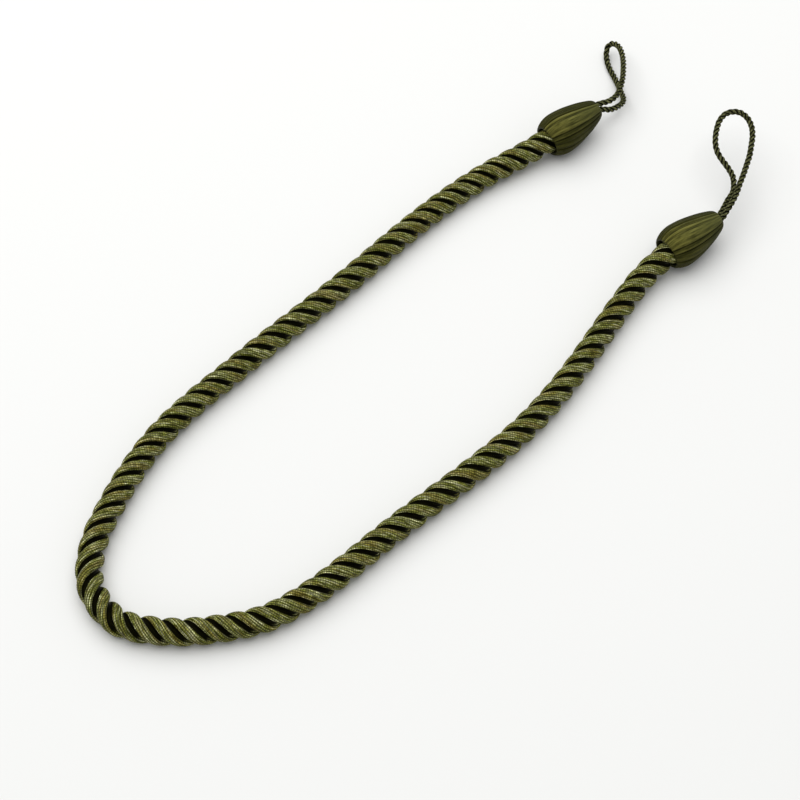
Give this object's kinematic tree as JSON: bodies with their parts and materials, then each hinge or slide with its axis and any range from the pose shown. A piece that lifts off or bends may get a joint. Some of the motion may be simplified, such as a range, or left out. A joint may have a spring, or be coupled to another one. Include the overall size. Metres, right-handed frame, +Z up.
{
  "type": "rope curtain tieback",
  "caption": "Twisted olive rope laid in a long U, with a ribbed wound head and a thin hanging loop on each end; holds a drawn-back curtain to a wall hook",
  "frame": {"origin": "on the table, at the bottom centre of the whole tieback's box", "axes": "+Z up from the table, +Y from the rope's bend towards the two heads, +X from the left limb to the right limb"},
  "size_m": [0.1255, 0.3798, 0.0227],
  "materials": {
    "rope_yarn": "soft sheen of cords wrapped in fine thread",
    "head_thread": "satin thread wound lengthwise",
    "loop_cord": "matt twisted cord"
  },
  "bodies": {
    "root": {"rope": "rope_yarn", "head_left": "head_thread", "head_right": "head_thread", "loop_left": "loop_cord", "loop_right": "loop_cord"}
  },
  "joints": []
}
